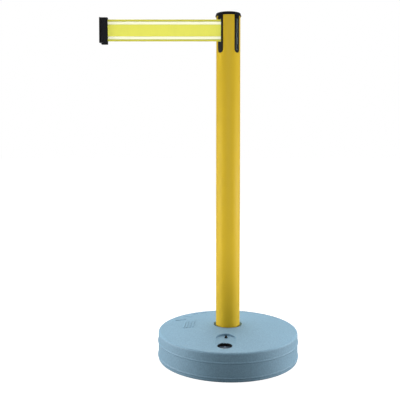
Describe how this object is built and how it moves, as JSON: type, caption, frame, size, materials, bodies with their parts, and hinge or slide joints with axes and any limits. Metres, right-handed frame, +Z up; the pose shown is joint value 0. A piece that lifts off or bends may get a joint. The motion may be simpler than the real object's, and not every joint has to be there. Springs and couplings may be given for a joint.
{
  "type": "retractable belt barrier post",
  "caption": "Yellow round post on a fillable round grey-blue base, with a black slotted head and a fluorescent striped belt drawn out to one side.",
  "frame": {"origin": "on the post axis, at floor level under the base", "axes": "+Z up along the post; the belt runs out along -X; the fill plug faces -Y"},
  "size_m": [0.5231, 0.3744, 0.911],
  "materials": {
    "base_plastic": "blow-moulded polyethylene, satin with a fine grain",
    "plug_plastic": "moulded polyethylene, dark grey",
    "seal_rubber": "flat rubber washer",
    "post_plastic": "extruded tube, yellow all through, satin",
    "black_plastic": "moulded nylon, semi-matt black",
    "grey_plastic": "moulded acetal, dark grey",
    "bush_plastic": "plain bearing plastic, natural",
    "steel": "zinc-plated steel",
    "black_steel": "black oxide screws",
    "spring_steel": "blued spring strip",
    "webbing": "woven polyester webbing, fluorescent yellow-green with two silver-white stripes"
  },
  "bodies": {
    "post": {"base_shell": "base_plastic", "neck_liner": "seal_rubber", "vent_plug": "seal_rubber", "post_tube": "post_plastic", "foot_plug": "black_plastic", "foot_nut": "steel", "clamp_bolt": "steel", "clamp_washer": "steel", "head_cap": "black_plastic", "cap_disc": "black_plastic", "cap_screw": "steel", "receiver_front_right": "black_plastic", "receiver_back_right": "black_plastic", "receiver_back_left": "black_plastic", "exit_guide": "black_plastic", "cassette_top": "grey_plastic", "cassette_base": "grey_plastic", "tie_bolts": "steel", "tie_nuts": "steel", "retaining_screw": "black_steel", "top_bush": "bush_plastic", "base_bush": "bush_plastic", "spring_cup": "grey_plastic", "spring_cover": "grey_plastic", "power_spring": "spring_steel"},
    "reel": {"drum": "grey_plastic", "drum_shaft": "steel", "belt_coil": "webbing"},
    "belt_end": {"belt_strap": "webbing", "clip_front_shell": "black_plastic", "clip_back_shell": "black_plastic", "clip_rail": "black_plastic", "clip_pin": "steel", "clip_screws": "black_steel"},
    "plug_gasket": {"plug_seal": "seal_rubber"},
    "plug": {"fill_plug": "plug_plastic"}
  },
  "joints": [
    {"name": "belt_pull", "type": "slide", "parent": "post", "child": "belt_end", "axis": [-1, 0, 0], "range_m": [-0.285, 1.9], "deforming": ["belt_strap"]},
    {"name": "reel_spin", "type": "hinge", "parent": "post", "child": "reel", "pos_m": [0, 0, 0.85], "axis": [0, 0, -1], "range_deg": [-950, 6300]},
    {"name": "plug_rise", "type": "slide", "parent": "post", "child": "plug_gasket", "axis": [0, 0, 1], "range_m": [0, 0.012]},
    {"name": "plug_turn", "type": "hinge", "parent": "plug_gasket", "child": "plug", "pos_m": [-0.01386, -0.14132, 0.06], "axis": [0, 0, 1], "range_deg": [0, 1080]}
  ],
  "couplings": [
    {"joint": "reel_spin", "follows": "belt_pull", "rad_per_m": 57.8},
    {"joint": "plug_turn", "follows": "plug_rise", "rad_per_m": 1570.8}
  ]
}
